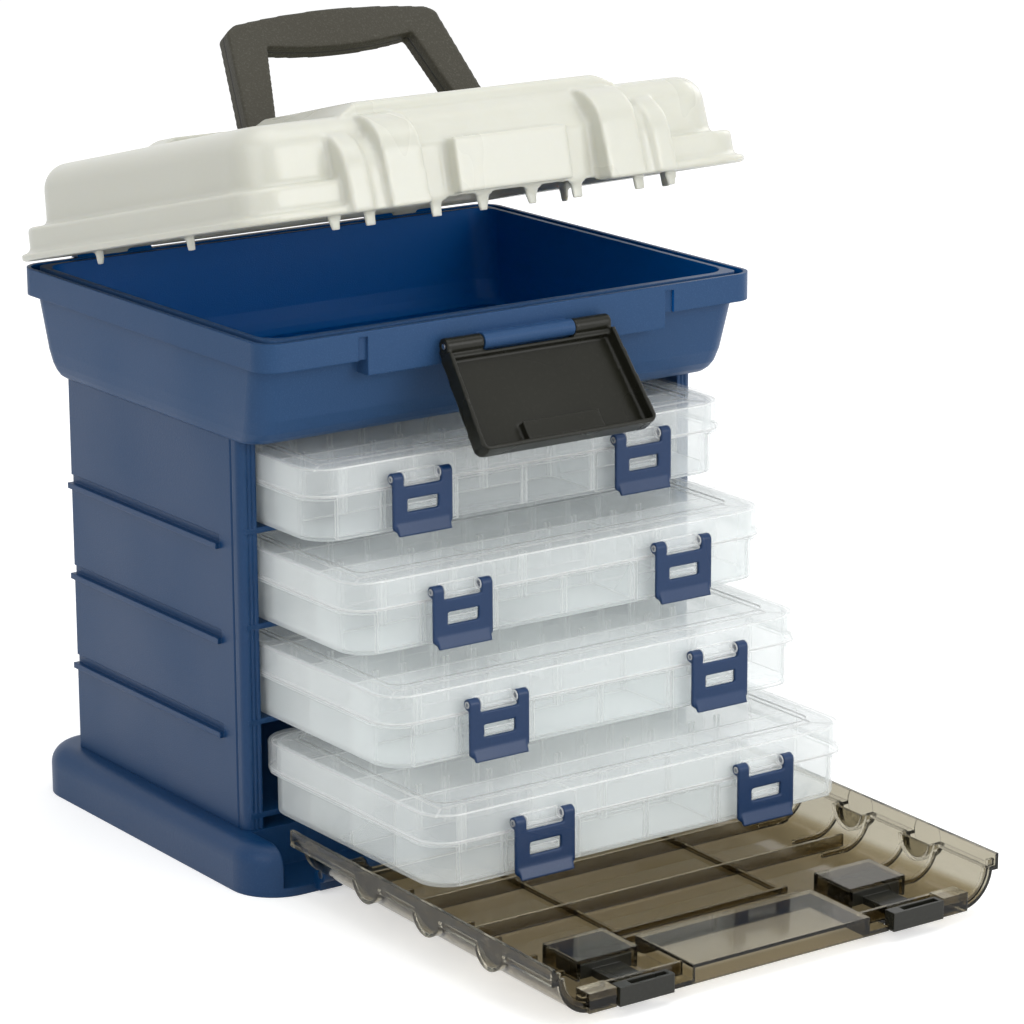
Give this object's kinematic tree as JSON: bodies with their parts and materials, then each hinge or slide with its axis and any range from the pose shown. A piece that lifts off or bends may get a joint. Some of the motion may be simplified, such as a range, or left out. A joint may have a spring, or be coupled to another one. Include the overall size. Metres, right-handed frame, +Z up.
{
  "type": "tackle box",
  "caption": "Upright tackle box: a rack of clear latched utility boxes that slide out of the front under a top tub with a domed lid, bail handle, front latch and drop-down door.",
  "frame": {"origin": "under the rack, on the underside of the plinth, where the box stands", "axes": "+X to the right along the front, -Y out of the front, +Z up"},
  "size_m": [0.336, 0.5053, 0.4487],
  "materials": {
    "case": "satin moulded plastic, fine speckle",
    "lid": "pearly off-white, half gloss",
    "handle": "dark warm grey, fine grain",
    "front_latch": "olive black, half gloss",
    "door": "see-through smoke brown",
    "door_latch": "dark grey",
    "clear_box": "clear, slightly frosted",
    "box_latch": "blue, half gloss",
    "pins": "plain steel"
  },
  "bodies": {
    "case": {"base_plinth": "case", "side_panel_left": "case", "side_panel_right": "case", "back_panel": "case", "top_tub": "case", "lid_hinge_rod": "pins", "front_latch_rod": "pins", "door_hinge_pin_left": "pins", "door_hinge_pin_right": "pins"},
    "lid": {"lid_shell": "lid", "handle_pin_left": "pins", "handle_pin_right": "pins"},
    "handle": {"handle": "handle"},
    "front_latch": {"front_latch": "front_latch"},
    "door": {"door_panel": "door"},
    "door_latch_left": {"door_latch_left": "door_latch"},
    "door_latch_right": {"door_latch_right": "door_latch"},
    "box_1": {"box_1_tray": "clear_box", "box_1_lid": "clear_box", "box_1_dividers": "clear_box"},
    "box_1_latch_left": {"box_1_latch_left": "box_latch"},
    "box_1_latch_right": {"box_1_latch_right": "box_latch"},
    "box_2": {"box_2_tray": "clear_box", "box_2_lid": "clear_box", "box_2_dividers": "clear_box"},
    "box_2_latch_left": {"box_2_latch_left": "box_latch"},
    "box_2_latch_right": {"box_2_latch_right": "box_latch"},
    "box_3": {"box_3_tray": "clear_box", "box_3_lid": "clear_box", "box_3_dividers": "clear_box"},
    "box_3_latch_left": {"box_3_latch_left": "box_latch"},
    "box_3_latch_right": {"box_3_latch_right": "box_latch"},
    "box_4": {"box_4_tray": "clear_box", "box_4_lid": "clear_box", "box_4_dividers": "clear_box"},
    "box_4_latch_left": {"box_4_latch_left": "box_latch"},
    "box_4_latch_right": {"box_4_latch_right": "box_latch"}
  },
  "joints": [
    {"name": "lid_hinge", "type": "hinge", "parent": "case", "child": "lid", "pos_m": [0, 0.1245, 0.306], "axis": [-1, 0, 0], "range_deg": [-13.4, 86.6]},
    {"name": "handle_hinge", "type": "hinge", "parent": "lid", "child": "handle", "pos_m": [0, 0.00505, 0.38627], "axis": [1, 0, 0], "range_deg": [-65.5, 30]},
    {"name": "front_latch_hinge", "type": "hinge", "parent": "case", "child": "front_latch", "pos_m": [0, -0.1465, 0.2947], "axis": [1, 0, 0], "range_deg": [-141.5, 0]},
    {"name": "door_hinge", "type": "hinge", "parent": "case", "child": "door", "pos_m": [0, -0.137, 0.011], "axis": [1, 0, 0], "range_deg": [-3, 0]},
    {"name": "door_latch_left_slide", "type": "slide", "parent": "door", "child": "door_latch_left", "axis": [0, 0.9998, 0.0175], "range_m": [0, 0.004]},
    {"name": "door_latch_right_slide", "type": "slide", "parent": "door", "child": "door_latch_right", "axis": [0, 0.9998, 0.0175], "range_m": [0, 0.004]},
    {"name": "box_1_slide", "type": "slide", "parent": "case", "child": "box_1", "axis": [0, -1, 0], "range_m": [-0.054, 0.114]},
    {"name": "box_1_latch_left_hinge", "type": "hinge", "parent": "box_1", "child": "box_1_latch_left", "pos_m": [-0.07335, -0.1519, 0.2288], "axis": [-1, 0, 0], "range_deg": [0, 90]},
    {"name": "box_1_latch_right_hinge", "type": "hinge", "parent": "box_1", "child": "box_1_latch_right", "pos_m": [0.07335, -0.1519, 0.2288], "axis": [-1, 0, 0], "range_deg": [0, 90]},
    {"name": "box_2_slide", "type": "slide", "parent": "case", "child": "box_2", "axis": [0, -1, 0], "range_m": [-0.091, 0.077]},
    {"name": "box_2_latch_left_hinge", "type": "hinge", "parent": "box_2", "child": "box_2_latch_left", "pos_m": [-0.07335, -0.1889, 0.1753], "axis": [-1, 0, 0], "range_deg": [0, 90]},
    {"name": "box_2_latch_right_hinge", "type": "hinge", "parent": "box_2", "child": "box_2_latch_right", "pos_m": [0.07335, -0.1889, 0.1753], "axis": [-1, 0, 0], "range_deg": [0, 90]},
    {"name": "box_3_slide", "type": "slide", "parent": "case", "child": "box_3", "axis": [0, -1, 0], "range_m": [-0.124, 0.044]},
    {"name": "box_3_latch_left_hinge", "type": "hinge", "parent": "box_3", "child": "box_3_latch_left", "pos_m": [-0.07335, -0.2219, 0.1218], "axis": [-1, 0, 0], "range_deg": [0, 90]},
    {"name": "box_3_latch_right_hinge", "type": "hinge", "parent": "box_3", "child": "box_3_latch_right", "pos_m": [0.07335, -0.2219, 0.1218], "axis": [-1, 0, 0], "range_deg": [0, 90]},
    {"name": "box_4_slide", "type": "slide", "parent": "case", "child": "box_4", "axis": [0, -1, 0], "range_m": [-0.165, 0.003]},
    {"name": "box_4_latch_left_hinge", "type": "hinge", "parent": "box_4", "child": "box_4_latch_left", "pos_m": [-0.07335, -0.2629, 0.0683], "axis": [-1, 0, 0], "range_deg": [0, 90]},
    {"name": "box_4_latch_right_hinge", "type": "hinge", "parent": "box_4", "child": "box_4_latch_right", "pos_m": [0.07335, -0.2629, 0.0683], "axis": [-1, 0, 0], "range_deg": [0, 90]}
  ]
}
